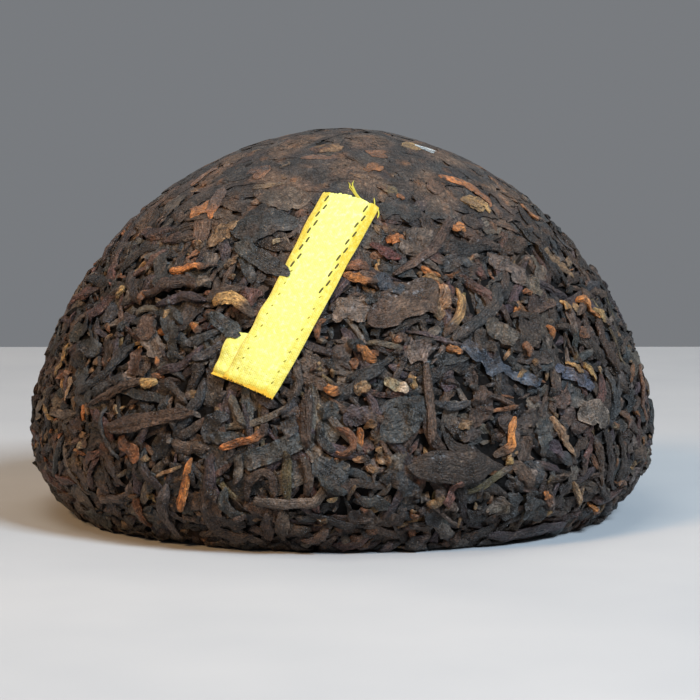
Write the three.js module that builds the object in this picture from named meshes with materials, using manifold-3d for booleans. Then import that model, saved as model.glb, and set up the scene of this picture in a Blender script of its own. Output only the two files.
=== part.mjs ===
// Pu-erh tuocha: dark tea leaf steamed and pressed into a bowl-shaped nest, lying dome up on its rim, with a short
// length of woven ribbon pressed into its front. Millimetres, +Z up, the origin in the middle of the rim's underside,
// the ribbon on the -Y side. An azimuth is counted in degrees from the front, -Y, towards +X. A heading is counted in
// degrees clockwise from straight up the dome, as seen from outside.
import * as THREE from "three";
import { mergeVertices } from "three/addons/utils/BufferGeometryUtils.js";
import Module from "manifold-3d";

const wasm = await Module();
wasm.setup();

// ---- Driving dimensions --------------------------------------------------------------------------------------------

const BULGE_RADIUS = 50; // the widest level, over the leaves
const HEIGHT = 61;
const BULGE_HEIGHT = 14; // height of the widest level above the floor
const DOME_EXPONENT = 1.81; // a superellipse; 2 is an ellipse, and less is more pointed
const FOOT_EXPONENT = 1.5;
const RIM_OUTER_RADIUS = 42; // the flat ring that the nest stands on
const RIM_INNER_RADIUS = 36;
const HOLLOW_DEPTH = 28; // the dimple that the twisted mouth of the pressing bag leaves underneath
const HOLLOW_SHAPE = { roundness: 2.4, flare: 1.7 };

const RELIEF = 1.4; // depth of the core under the tops of the leaves
const BUMP_HEIGHT = 0.45; // crumb relief on the core, where no large leaf lies

const RIBBON = {
  width: 8.8,
  length: 36,
  thickness: 0.45,
  top: { azimuth: 2.5, height: 51.5 }, // the middle of the upper end
  heading: -150,
  lift: 0.05, // its underside, above the tops of the leaves
};
const CLEARANCE = 0.32; // between the ribbon and the leaf around it

// The largest leaves of the photographed side, as azimuth, height, heading, length and width.
const NAMED_LEAVES = {
  foldedLeaf: [9, 37, 77, 17, 6.4],
  slug: [19, 13.4, 91, 13.4, 5],
  flatLeaf: [10, 21, 52, 9, 5.2],
  longBlade: [31, 28, 121, 15, 3.2],
  upperCurl: [22, 39, -166, 10, 2.8],
  goldCurl: [24.5, 34, -166, 9, 2.6],
  leftStalk: [-35, 20, 79, 17, 3],
  brightStrip: [-28, 10, -160, 11, 2.6],
  roundFold: [-20.9, 7.5, 160, 11, 8.4],
  centreBlade: [-12, 16.6, 70, 11, 3],
  stem: [15.2, 22.4, 178, 12, 2.2],
  leftDiagonal: [-50, 26.6, -127, 15, 3.2],
  leftSlate: [-35, 31.8, 163, 10, 3.2],
  upperStrand: [18.7, 44.5, -132, 15, 2.4],
  upperRight: [43, 41, 133, 12, 5.6],
  roundedLeaf: [37.6, 17, 179, 8, 4.4],
  footLeaf: [38, 3, 93, 16, 5],
  parallelStrand: [50, 12.6, 148, 13, 4.4],
  wavyLeaf: [-37, 38, 88, 15, 2.8],
  rightStrand: [28, 36, -130, 15, 2.4],
  upperSlab: [-24, 49, 65, 11, 6],
  upperSlate: [19, 50, 106, 9, 5.6],
};
const NAMED_THICKNESS = 2.4;

// Leaves that lap over the ribbon's left edge, raised so that they pass above it.
const LAPPING_LEAVES = {
  upper: [-17.5, 43.5, 118, 9.5, 3.8],
  lower: [-22.5, 34.8, 122, 10, 4],
};
const LAP_THICKNESS = 2.6;
const LAP_LIFT = 1.6;

const LEAF_SIDES = 5;
const LEAF_STATIONS = 4;
const LEAF_COUNT = { outside: 104, hollow: 16 };
const SEED = 20261124;

// ---- The outline of the nest ---------------------------------------------------------------------------------------

const OUTLINE_STEPS = 120; // per stretch

function superellipseArc(t, exponent) {
  return [Math.cos(t) ** (2 / exponent), Math.sin(t) ** (2 / exponent)];
}

function domePoint(share) {
  const [across, up] = superellipseArc((1 - share) * (Math.PI / 2), DOME_EXPONENT);
  return new THREE.Vector2(BULGE_RADIUS * across, BULGE_HEIGHT + (HEIGHT - BULGE_HEIGHT) * up);
}

function footPoint(share) {
  const [across, down] = superellipseArc(share * (Math.PI / 2), FOOT_EXPONENT);
  return new THREE.Vector2(
    RIM_OUTER_RADIUS + (BULGE_RADIUS - RIM_OUTER_RADIUS) * across,
    BULGE_HEIGHT * (1 - down),
  );
}

function rimPoint(share) {
  return new THREE.Vector2(THREE.MathUtils.lerp(RIM_OUTER_RADIUS, RIM_INNER_RADIUS, share), 0);
}

function hollowPoint(share) {
  const radius = RIM_INNER_RADIUS * (1 - share);
  const rise = 1 - (radius / RIM_INNER_RADIUS) ** HOLLOW_SHAPE.roundness;
  return new THREE.Vector2(radius, HOLLOW_DEPTH * rise ** HOLLOW_SHAPE.flare);
}

// The outline from the top of the dome, over the bulge and the rim, to the top of the hollow, with its outward normals.
function sampleOutline() {
  const points = [];
  for (const stretch of [domePoint, footPoint, rimPoint, hollowPoint]) {
    for (let i = points.length ? 1 : 0; i <= OUTLINE_STEPS; i++) points.push(stretch(i / OUTLINE_STEPS));
  }
  points[0].x = 0;
  points[points.length - 1].x = 0;
  return points.map((point, i) => {
    const along = points[Math.min(i + 1, points.length - 1)].clone().sub(points[Math.max(i - 1, 0)]);
    return { point, normal: new THREE.Vector2(-along.y, along.x).normalize() };
  });
}

const outline = sampleOutline();

function placeOn(sample, [ex, ey]) {
  return {
    position: new THREE.Vector3(sample.point.x * ex, sample.point.x * ey, sample.point.y),
    normal: new THREE.Vector3(sample.normal.x * ex, sample.normal.x * ey, sample.normal.y).normalize(),
  };
}

// The place on the outline's surface that is nearest to a point in space.
function nearestPlace(position) {
  const radius = Math.hypot(position.x, position.y);
  const away = ({ point }) => (point.x - radius) ** 2 + (point.y - position.z) ** 2;
  const nearest = outline.reduce((a, b) => (away(b) < away(a) ? b : a));
  return placeOn(nearest, radius > 1e-6 ? [position.x / radius, position.y / radius] : [1, 0]);
}

// The place at an azimuth and height on the outside of the nest.
function placeAt(azimuth, height) {
  const turn = THREE.MathUtils.degToRad(azimuth);
  const outside = outline.slice(0, 2 * OUTLINE_STEPS + 1);
  const away = ({ point }) => Math.abs(point.y - height);
  const nearest = outside.reduce((a, b) => (away(b) < away(a) ? b : a));
  return placeOn(nearest, [Math.sin(turn), -Math.cos(turn)]);
}

function surfaceAxes(place) {
  const sideways = new THREE.Vector3(-place.position.y, place.position.x, 0);
  if (sideways.lengthSq() < 1e-9) sideways.set(1, 0, 0);
  sideways.normalize();
  return { sideways, uphill: new THREE.Vector3().crossVectors(place.normal, sideways).normalize() };
}

function directionAt(place, heading) {
  const { sideways, uphill } = surfaceAxes(place);
  const turn = THREE.MathUtils.degToRad(heading);
  return uphill.multiplyScalar(Math.cos(turn)).addScaledVector(sideways, Math.sin(turn));
}

// Steps along the surface from a place, turning by bend degrees over the whole way.
function walk(start, direction, length, bend, steps) {
  const way = [];
  let place = start;
  let ahead = direction.clone();
  for (let i = 0; i <= steps; i++) {
    const forward = ahead.clone().addScaledVector(place.normal, -ahead.dot(place.normal)).normalize();
    way.push({ ...place, forward, side: new THREE.Vector3().crossVectors(forward, place.normal) });
    place = nearestPlace(place.position.clone().addScaledVector(forward, length / steps));
    ahead = forward.applyAxisAngle(place.normal, -THREE.MathUtils.degToRad(bend / steps));
  }
  return way;
}

// ---- Solids and booleans -------------------------------------------------------------------------------------------

function turnedInsideOut(index) {
  const turned = index.slice();
  for (let i = 0; i < turned.length; i += 3) [turned[i + 1], turned[i + 2]] = [turned[i + 2], turned[i + 1]];
  return turned;
}

function solidFrom(geometry) {
  const bare = new THREE.BufferGeometry().setAttribute("position", geometry.getAttribute("position"));
  if (geometry.index) bare.setIndex(geometry.index);
  const merged = mergeVertices(bare, 1e-4);
  const vertProperties = new Float32Array(merged.attributes.position.array);
  const triVerts = new Uint32Array(merged.index.array);
  const solid = new wasm.Manifold(new wasm.Mesh({ numProp: 3, vertProperties, triVerts }));
  if (solid.volume() > 0) return solid;
  return new wasm.Manifold(new wasm.Mesh({ numProp: 3, vertProperties, triVerts: turnedInsideOut(triVerts) }));
}

function geometryFrom(solid) {
  const { vertProperties, triVerts } = solid.getMesh();
  return new THREE.BufferGeometry()
    .setAttribute("position", new THREE.BufferAttribute(new Float32Array(vertProperties), 3))
    .setIndex(new THREE.BufferAttribute(new Uint32Array(triVerts), 1));
}

// Moves each vertex of a geometry to where place(vertex) says.
function warp(geometry, place) {
  const positions = geometry.getAttribute("position");
  const vertex = new THREE.Vector3();
  for (let i = 0; i < positions.count; i++) {
    vertex.fromBufferAttribute(positions, i);
    positions.setXYZ(i, ...place(vertex).toArray());
  }
  return geometry;
}

// The outer shell of a solid: loose scraps are dropped and sealed hollows are filled.
function outerShell(solid) {
  return solid.decompose().reduce((a, b) => (b.volume() > a.volume() ? b : a));
}

// ---- Random draws, seeded ------------------------------------------------------------------------------------------

function randomSource(seed) {
  let state = seed >>> 0;
  return (low = 0, high = 1) => {
    state = (state + 0x6d2b79f5) >>> 0;
    let mixed = Math.imul(state ^ (state >>> 15), state | 1);
    mixed ^= mixed + Math.imul(mixed ^ (mixed >>> 7), mixed | 61);
    return low + (high - low) * (((mixed ^ (mixed >>> 14)) >>> 0) / 2 ** 32);
  };
}

const random = randomSource(SEED);

// ---- The core ------------------------------------------------------------------------------------------------------

const CORE_SEGMENTS = 30;
const CORE_RINGS = { dome: 8, foot: 2, rim: 1, hollow: 5 };
const LUMP_WAVES = [
  { across: 3, up: 0.11, phase: 0.6, height: 0.24 },
  { across: 7, up: 0.17, phase: 2.1, height: 0.18 },
];
const CRUMB_WAVES = { x: 9.1, y: 7.7, z: 8.3 }; // per millimetre, far finer than the rings, so each vertex differs

// How far the core stays under the outline there: not at all on the flat ring.
function insetAt(height, normal) {
  const facesDown = THREE.MathUtils.smoothstep(-normal.y, 0.55, 0.98);
  const low = 1 - THREE.MathUtils.smoothstep(height, 0, 3);
  return RELIEF * (1 - facesDown * low);
}

function corePoints() {
  const picked = [outline[0]];
  Object.values(CORE_RINGS).forEach((rings, stretch) => {
    for (let i = 1; i <= rings; i++) picked.push(outline[Math.round((stretch + i / rings) * OUTLINE_STEPS)]);
  });
  return picked.map(({ point, normal }) => {
    const inset = point.clone().addScaledVector(normal, -insetAt(point.y, normal));
    return point.x === 0 ? new THREE.Vector2(0, inset.y) : inset;
  });
}

function bump({ x, y, z }) {
  const turn = Math.atan2(y, x);
  const lumps = LUMP_WAVES.map(({ across, up, phase, height }) => height * Math.sin(across * turn + up * z + phase));
  const crumbs = Math.sin(CRUMB_WAVES.x * x) * Math.sin(CRUMB_WAVES.y * y) * Math.sin(CRUMB_WAVES.z * z);
  return lumps.reduce((a, b) => a + b) + crumbs * BUMP_HEIGHT;
}

function core() {
  const lathe = new THREE.LatheGeometry(corePoints(), CORE_SEGMENTS).rotateX(Math.PI / 2);
  return solidFrom(
    warp(lathe, (vertex) => {
      const onFlatRing = vertex.z < 0.5;
      return vertex.clone().addScaledVector(nearestPlace(vertex).normal, onFlatRing ? 0 : bump(vertex));
    }),
  );
}

// ---- Leaves --------------------------------------------------------------------------------------------------------

// One rolled leaf: a low sphere drawn out along the surface, blunt or pointed, with a twist in its section. Its top
// lies depth under the outline.
function leafSolid({ place, heading, length, width, thickness, bend = 0, depth = 0, blunt = 0.45, twist = 0 }) {
  const back = directionAt(place, heading - bend / 2).negate();
  const start = walk(place, back, length / 2, 0, LEAF_STATIONS).at(-1);
  const way = walk(start, start.forward.clone().negate(), length, bend, LEAF_STATIONS);
  const ball = new THREE.SphereGeometry(1, LEAF_SIDES, LEAF_STATIONS);
  return solidFrom(
    warp(ball, (vertex) => {
      const ring = Math.round((Math.acos(THREE.MathUtils.clamp(vertex.y, -1, 1)) / Math.PI) * LEAF_STATIONS);
      const at = way[ring];
      const spread = Math.hypot(vertex.x, vertex.z);
      const swell = spread < 1e-6 ? 0 : spread ** (blunt - 1);
      const turn = twist * (ring / LEAF_STATIONS - 0.5);
      const across = (vertex.x * Math.cos(turn) - vertex.z * Math.sin(turn)) * swell;
      const up = (vertex.x * Math.sin(turn) + vertex.z * Math.cos(turn)) * swell;
      return at.position
        .clone()
        .addScaledVector(at.side, (across * width) / 2)
        .addScaledVector(at.normal, (up * thickness) / 2 - thickness / 2 - depth);
    }),
  );
}

function listedLeaves(list, thickness, lift) {
  return Object.values(list).map(([azimuth, height, heading, length, width]) =>
    leafSolid({ place: placeAt(azimuth, height), heading, length, width, thickness, depth: -lift }),
  );
}

// Places spread evenly over a part of the outline: of several draws, the one furthest from the rest is kept.
function spreadPlaces(count, first, last, taken) {
  const TRIES = 24;
  const weights = outline
    .slice(first, last)
    .map(({ point }, i) => point.x * point.distanceTo(outline[first + i + 1].point));
  const whole = weights.reduce((a, b) => a + b, 0);
  const draw = () => {
    let left = random(0, whole);
    const i = weights.findIndex((weight) => (left -= weight) <= 0);
    const turn = random(0, 2 * Math.PI);
    return placeOn(outline[first + Math.max(i, 0)], [Math.cos(turn), Math.sin(turn)]);
  };
  const clearance = (place) => Math.min(...taken.map((other) => other.position.distanceTo(place.position)), 1e3);
  for (let n = 0; n < count; n++) {
    const draws = Array.from({ length: TRIES }, draw);
    taken.push(draws.reduce((a, b) => (clearance(b) > clearance(a) ? b : a)));
  }
  return taken.slice(-count);
}

function scatteredLeaves(taken) {
  const outside = spreadPlaces(LEAF_COUNT.outside, 1, 2 * OUTLINE_STEPS - 12, taken);
  const hollow = spreadPlaces(LEAF_COUNT.hollow, 3 * OUTLINE_STEPS + 20, 4 * OUTLINE_STEPS - 20, taken);
  return [outside, hollow].flatMap((places) => {
    const lengths = places.map(() => random(9, 18)).sort((a, b) => b - a); // the longest where there is most room
    return places.map((place, i) =>
      leafSolid({
        place,
        heading: random(0, 180),
        length: lengths[i],
        width: random(2.8, 5.2),
        thickness: random(2, 2.6),
        bend: random(-50, 50),
        depth: random(0, 0.3),
        blunt: random(0.25, 0.6),
        twist: random(-0.9, 0.9),
      }),
    );
  });
}

// ---- The ribbon ----------------------------------------------------------------------------------------------------

const RIBBON_STEPS = 12;

function ribbonWay() {
  const start = placeAt(RIBBON.top.azimuth, RIBBON.top.height);
  return walk(start, directionAt(start, RIBBON.heading), RIBBON.length, 0, RIBBON_STEPS);
}

// A slab bent over the surface along the ribbon's way: grow widens it all round, from low to high above the surface.
function ribbonSlab(grow, low, high) {
  const way = ribbonWay();
  const slab = new THREE.BoxGeometry(1, 1, 1, 2, RIBBON_STEPS, 1);
  return solidFrom(
    warp(slab, (vertex) => {
      const step = Math.round((0.5 - vertex.y) * RIBBON_STEPS);
      const at = way[step];
      const past = step === 0 ? -grow : step === RIBBON_STEPS ? grow : 0;
      const middle = at.position.clone().addScaledVector(at.forward, past);
      const beside = nearestPlace(middle.addScaledVector(at.side, vertex.x * (RIBBON.width + 2 * grow)));
      return beside.position.addScaledVector(beside.normal, THREE.MathUtils.lerp(low, high, vertex.z + 0.5));
    }),
  );
}

// ---- The nest ------------------------------------------------------------------------------------------------------

function floorSlab() {
  return solidFrom(new THREE.BoxGeometry(4 * BULGE_RADIUS, 4 * BULGE_RADIUS, 20).translate(0, 0, -10));
}

function nest() {
  const bed = ribbonSlab(-0.4, -RELIEF - 1.2, 0);
  const named = listedLeaves(NAMED_LEAVES, NAMED_THICKNESS, 0);
  const lapping = listedLeaves(LAPPING_LEAVES, LAP_THICKNESS, LAP_LIFT);
  const places = Object.values(NAMED_LEAVES).map(([azimuth, height]) => placeAt(azimuth, height));
  const leaves = scatteredLeaves([...ribbonWay(), ...places]);
  const pressed = wasm.Manifold.union([core(), bed, ...named, ...lapping, ...leaves]);
  const slot = ribbonSlab(CLEARANCE, RIBBON.lift - CLEARANCE, RIBBON.lift + RIBBON.thickness + CLEARANCE);
  return outerShell(pressed.subtract(floorSlab()).subtract(slot));
}

function mesh(name, solid, color, roughness) {
  const made = new THREE.Mesh(geometryFrom(solid), new THREE.MeshStandardMaterial({ color, roughness, metalness: 0 }));
  made.name = name;
  return made;
}

const tuocha = new THREE.Group();
tuocha.add(mesh("tea_nest", nest(), 0x2b211c, 0.75));
tuocha.add(mesh("ribbon", ribbonSlab(0, RIBBON.lift, RIBBON.lift + RIBBON.thickness), 0xe8d23c, 0.8));

export default tuocha;
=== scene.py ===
"""The looks of a pressed nest of dark tea leaf, with a strip of woven ribbon in its front, on its CAD frame.

Lengths are millimetres, and become metres when a mesh is made. Z is up and the shown side faces -Y.
A spot on the nest's outline is (s, theta): s is how far it is from the top of the dome along the outline,
over the bulge and the rim and up the hollow underneath, and theta turns round Z. The leaves are laid on the
core one by one. Each rests on the ones below it, whose tops are kept in a relief map, and its height above
the core is flattened as by the press.
"""

import functools
import math

import bpy
import numpy as np
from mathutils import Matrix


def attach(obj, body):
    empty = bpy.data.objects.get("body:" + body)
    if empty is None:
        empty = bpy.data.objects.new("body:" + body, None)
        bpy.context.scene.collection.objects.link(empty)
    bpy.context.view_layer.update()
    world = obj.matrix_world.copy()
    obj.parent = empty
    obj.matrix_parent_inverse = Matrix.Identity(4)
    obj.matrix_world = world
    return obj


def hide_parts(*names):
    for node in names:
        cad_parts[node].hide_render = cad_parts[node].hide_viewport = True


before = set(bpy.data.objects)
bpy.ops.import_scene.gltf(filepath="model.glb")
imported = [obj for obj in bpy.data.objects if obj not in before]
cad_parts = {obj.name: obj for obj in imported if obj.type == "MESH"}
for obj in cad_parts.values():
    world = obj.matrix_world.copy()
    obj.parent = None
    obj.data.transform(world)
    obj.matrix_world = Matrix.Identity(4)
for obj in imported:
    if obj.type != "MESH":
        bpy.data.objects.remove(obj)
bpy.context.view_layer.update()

MM = 0.001
CREASE_ANGLE = math.radians(38)
rng = np.random.default_rng(20261124)


def unit(vectors):
    return vectors / np.maximum(np.linalg.norm(vectors, axis=-1, keepdims=True), 1e-9)


def smoothstep(x, low, high):
    t = np.clip((x - low) / (high - low), 0, 1)
    return t * t * (3 - 2 * t)


def travelled(points):
    """How far along the way through some points each of them is."""
    return np.concatenate([[0], np.cumsum(np.linalg.norm(np.diff(points, axis=0), axis=1))])


def bilinear(table, i, j):
    """Values between the rows and columns of a table. i and j are counted in rows and in columns."""
    i = np.clip(i, 0, table.shape[0] - 1.001)
    j = np.clip(j, 0, table.shape[1] - 1.001)
    i0, j0 = i.astype(int), j.astype(int)
    fi, fj = i - i0, j - j0
    low = table[i0, j0] * (1 - fj) + table[i0, j0 + 1] * fj
    high = table[i0 + 1, j0] * (1 - fj) + table[i0 + 1, j0 + 1] * fj
    return low * (1 - fi) + high * fi


def linear(srgb):
    c = np.asarray(srgb, float) / 255
    return np.where(c <= 0.04045, c / 12.92, ((c + 0.055) / 1.055) ** 2.4)


def add_object(name, data, place=(0, 0, 0)):
    made = bpy.data.objects.new(name, data)
    made.location = place
    bpy.context.scene.collection.objects.link(made)
    return made


# ---- The nest's outline ----

BULGE_RADIUS = 50.0
HEIGHT = 61.0
BULGE_HEIGHT = 14.0
DOME_EXPONENT = 1.81
FOOT_EXPONENT = 1.5
RIM_OUTER_RADIUS = 42.0
RIM_INNER_RADIUS = 36.0
HOLLOW_DEPTH = 28.0
HOLLOW_ROUNDNESS = 2.4
HOLLOW_FLARE = 1.7
OUTLINE_STEP = 0.2


def outline_points():
    """Radius and height along the outline, from the top of the dome to the top of the hollow."""
    turn = np.linspace(0, np.pi / 2, 600)
    share = np.linspace(0, 1, 600)
    dome = (
        BULGE_RADIUS * np.sin(turn) ** (2 / DOME_EXPONENT),
        BULGE_HEIGHT + (HEIGHT - BULGE_HEIGHT) * np.cos(turn) ** (2 / DOME_EXPONENT),
    )
    foot = (
        RIM_OUTER_RADIUS + (BULGE_RADIUS - RIM_OUTER_RADIUS) * np.cos(turn) ** (2 / FOOT_EXPONENT),
        BULGE_HEIGHT * (1 - np.sin(turn) ** (2 / FOOT_EXPONENT)),
    )
    rim = (RIM_OUTER_RADIUS + (RIM_INNER_RADIUS - RIM_OUTER_RADIUS) * share, 0 * share)
    rise = np.clip(1 - (1 - share) ** HOLLOW_ROUNDNESS, 0, 1)
    hollow = (RIM_INNER_RADIUS * (1 - share), HOLLOW_DEPTH * rise**HOLLOW_FLARE)
    return np.hstack([dome, *(np.array(stretch)[:, 1:] for stretch in (foot, rim, hollow))])


def even_outline():
    """s, radius and height at even steps along the outline."""
    radius, height = outline_points()
    along = np.concatenate([[0], np.cumsum(np.hypot(np.diff(radius), np.diff(height)))])
    s = np.linspace(0, along[-1], int(along[-1] / OUTLINE_STEP))
    return s, np.interp(s, along, radius), np.interp(s, along, height)


LINE_S, LINE_R, LINE_Z = even_outline()
LINE_TR, LINE_TZ = np.gradient(LINE_R, LINE_S), np.gradient(LINE_Z, LINE_S)
S_END = LINE_S[-1]
S_BULGE = LINE_S[LINE_R.argmax()]
S_RIM = LINE_S[np.argmax(LINE_Z <= 0.01)]
S_SPLIT = S_RIM + (RIM_OUTER_RADIUS - RIM_INNER_RADIUS) / 2

TABLE_STEP = 0.5
TABLE_LOW = -5.0
TABLE_ROOM = 8.0  # how far past the bulge and the top it reaches


def nearest_table():
    """The s of the outline's nearest point, over a grid of radius and height."""
    radii = np.arange(0, BULGE_RADIUS + TABLE_ROOM, TABLE_STEP)
    heights = np.arange(TABLE_LOW, HEIGHT + TABLE_ROOM, TABLE_STEP)
    table = np.empty((len(radii), len(heights)))
    for i, radius in enumerate(radii):
        away = (LINE_R[None] - radius) ** 2 + (LINE_Z[None] - heights[:, None]) ** 2
        k = away.argmin(1)
        along = (radius - LINE_R[k]) * LINE_TR[k] + (heights - LINE_Z[k]) * LINE_TZ[k]
        table[i] = LINE_S[k] + np.clip(along, -OUTLINE_STEP, OUTLINE_STEP)
    return table


NEAREST = nearest_table()


def locate(points):
    """(s, theta) of the places on the outline nearest to points."""
    x, y, z = points[..., 0], points[..., 1], points[..., 2]
    s = bilinear(NEAREST, np.hypot(x, y) / TABLE_STEP, (z - TABLE_LOW) / TABLE_STEP)
    return s, np.arctan2(y, x)


def surface(s, theta):
    """Positions on the outline and the unit normals there."""
    radius, height = np.interp(s, LINE_S, LINE_R), np.interp(s, LINE_S, LINE_Z)
    tr, tz = np.interp(s, LINE_S, LINE_TR), np.interp(s, LINE_S, LINE_TZ)
    size = np.hypot(tr, tz)
    ex, ey = np.cos(theta), np.sin(theta)
    place = np.stack([radius * ex, radius * ey, height], -1)
    normal = np.stack([-tz * ex, -tz * ey, tr], -1) / size[..., None]
    return place, normal


def level(ahead, normal):
    """Directions turned down into the surface with these normals."""
    return unit(ahead - (ahead * normal).sum(-1, keepdims=True) * normal)


# ---- The camera, and places read off the photograph ----

PHOTO_SIDE = 700
SENSOR = 36.0
LENS = 144.2
CAMERA_DISTANCE = 450.0
CAMERA_ELEVATION = math.radians(5)
AIM = np.array([1.28, 0.0, HEIGHT / 2 - 4.8])
CAMERA_PLACE = np.array(
    [
        0.0,
        -CAMERA_DISTANCE * math.cos(CAMERA_ELEVATION),
        HEIGHT / 2 + CAMERA_DISTANCE * math.sin(CAMERA_ELEVATION),
    ]
)
FORWARD = unit(AIM - CAMERA_PLACE)
RIGHT = unit(np.cross(FORWARD, [0.0, 0.0, 1.0]))
UP = np.cross(RIGHT, FORWARD)
FOCAL_PIXELS = LENS / SENSOR * PHOTO_SIDE
RAY_DEPTHS = np.arange(CAMERA_DISTANCE - BULGE_RADIUS - 5, CAMERA_DISTANCE + 20, 0.2)
SEEN_RISE = 0.8  # how high above the outline the leaves that show lie


def seen_at(pixels, rise=SEEN_RISE):
    """The spots on the outline over which the rays through pixels of the photograph come down to the height
    of rise, or pass closest."""
    across, down = ((np.asarray(pixels, float) - PHOTO_SIDE / 2) / FOCAL_PIXELS).T[..., None]
    rays = FORWARD + RIGHT * across - UP * down
    points = CAMERA_PLACE + RAY_DEPTHS[None, :, None] * rays[:, None]
    place, normal = surface(*locate(points))
    gap = ((points - place) * normal).sum(-1) - rise
    entered = gap < 0
    k = np.where(entered.any(1), entered.argmax(1), gap.argmin(1))
    found = points[np.arange(len(points)), k]
    return surface(*locate(found))[0]


def numbers_in(words):
    """Rows of numbers, each written as 1,2.5."""
    return [tuple(map(float, word.split(","))) for word in words]


def spline(points, samples):
    """A smooth curve through a few points."""
    points = np.asarray(points, float)
    padded = np.concatenate([[2 * points[0] - points[1]], points, [2 * points[-1] - points[-2]]])
    t = np.linspace(0, len(points) - 1 - 1e-9, samples)
    i = t.astype(int)
    f = (t - i)[:, None]
    a, b, c, d = (padded[i + k] for k in range(4))
    return 0.5 * (2 * b + (c - a) * f + (2 * a - 5 * b + 4 * c - d) * f**2 + (3 * b - a - 3 * c + d) * f**3)


# ---- The heap's relief map ----

CELL = 0.35
MAP_MARGIN = 4  # in cells
MAP_HALF = int(max(S_SPLIT, S_END - S_SPLIT) / CELL) + MAP_MARGIN
relief = np.zeros((2, 2 * MAP_HALF, 2 * MAP_HALF))  # the outside, and the underside
avoided = np.zeros_like(relief)  # how much higher a leaf that is laid there seems to come

LOOSE_FROM = 21.0  # s where the pressed top starts to give way to looser leaf
LOOSE_AT = 52.0
LOOSE_IN_HOLLOW = 0.5
RIM_PRESSING = 0.45  # how much less loose the leaf is at the rim
RIM_BAND = 9.0
CORE_DEPTH = (0.1, 1.6)  # under the outline, at the top and where the leaf is loose
FOOT_SWELL = 1.0  # how much shallower it is along the foot
FOOT_FROM = (S_BULGE - 2, S_BULGE + 5)
FOOT_TO = (S_RIM - 10, S_RIM - 3)
HEAP_ROOM = (0.6, 4.8)  # how high the pressed heap can get above the core


def looseness(s):
    """0 on the pressed top and 1 where the leaf lies loose."""
    rim = 1 - RIM_PRESSING * smoothstep(s, S_RIM - RIM_BAND, S_RIM)
    return np.where(s > S_SPLIT, LOOSE_IN_HOLLOW, smoothstep(s, LOOSE_FROM, LOOSE_AT) * rim)


def core_depth(s):
    foot = smoothstep(s, *FOOT_FROM) * (1 - smoothstep(s, *FOOT_TO))
    return CORE_DEPTH[0] + (CORE_DEPTH[1] - CORE_DEPTH[0]) * looseness(s) - FOOT_SWELL * foot


def heap_room(s):
    return HEAP_ROOM[0] + (HEAP_ROOM[1] - HEAP_ROOM[0]) * looseness(s)


def pressed(height, s):
    """The height above the core after pressing. Whatever lies higher before stays higher."""
    room = heap_room(s)
    return np.where(height > 0, room * (1 - np.exp(-np.maximum(height, 0) / room)), height)


def unpressed(height, s):
    room = heap_room(s)
    return -room * np.log(1 - np.clip(height / room, 0, 0.98))


def map_place(s, theta):
    """Which of the relief map's two halves, and the row and column in it, as fractions."""
    under = s > S_SPLIT
    reach = np.where(under, S_END - s, s) / CELL
    return under.astype(int), MAP_HALF + reach * np.sin(theta), MAP_HALF + reach * np.cos(theta)


def map_cells(s, theta):
    half, row, column = map_place(s, theta)
    return half, row.astype(int), column.astype(int)


def between(grid, times):
    """A grid with times - 1 values put between each row and the next."""
    f = (np.arange(times) / times)[None, :, None]
    inner = grid[:-1, None] * (1 - f) + grid[1:, None] * f
    return np.concatenate([inner.reshape(-1, grid.shape[1]), grid[-1:]])


def raise_relief(s, theta, height):
    """Raises the map to a laid surface, given as a grid of spots and heights."""
    half, row, column = map_place(s, theta)
    rows, columns, heights = (between(between(grid, 5).T, 4).T for grid in (row, column, height))
    np.maximum.at(relief[half[0, 0]], (rows.astype(int), columns.astype(int)), heights)


def smoothed(values, passes):
    for _ in range(passes):
        padded = np.concatenate([values[:1], values, values[-1:]])
        values = 0.25 * padded[:-2] + 0.5 * padded[1:-1] + 0.25 * padded[2:]
    return values


# ---- Meshes made from arrays ----

CHART_SPREAD = 400  # so that no two leaves share a stretch of the material's patterns
TIP_LENGTH = 0.3  # how far past its last ring a tube's end is on the map


@functools.cache
def tube_template(rings, around):
    """A tube of rings closed by a point at each end: the corners of its faces, as indices into its points and
    into its map, and how many corners each face has."""
    corners, spots, sides = [], [], []
    wide = around + 1
    last = rings * around + 1
    end = last - around
    for j in range(around):
        k = (j + 1) % around
        corners += [0, 1 + j, 1 + k, last, end + k, end + j]
        spots += [j, wide + j, wide + j + 1]
        spots += [(rings + 1) * wide + j, rings * wide + j + 1, rings * wide + j]
        sides += [3, 3]
        for i in range(rings - 1):
            low, high = 1 + i * around, 1 + (i + 1) * around
            corners += [low + j, high + j, high + k, low + k]
            a, b = (i + 1) * wide + j, (i + 2) * wide + j
            spots += [a, b, b + 1, a + 1]
            sides.append(4)
    return np.array(corners), np.array(spots), np.array(sides)


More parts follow.
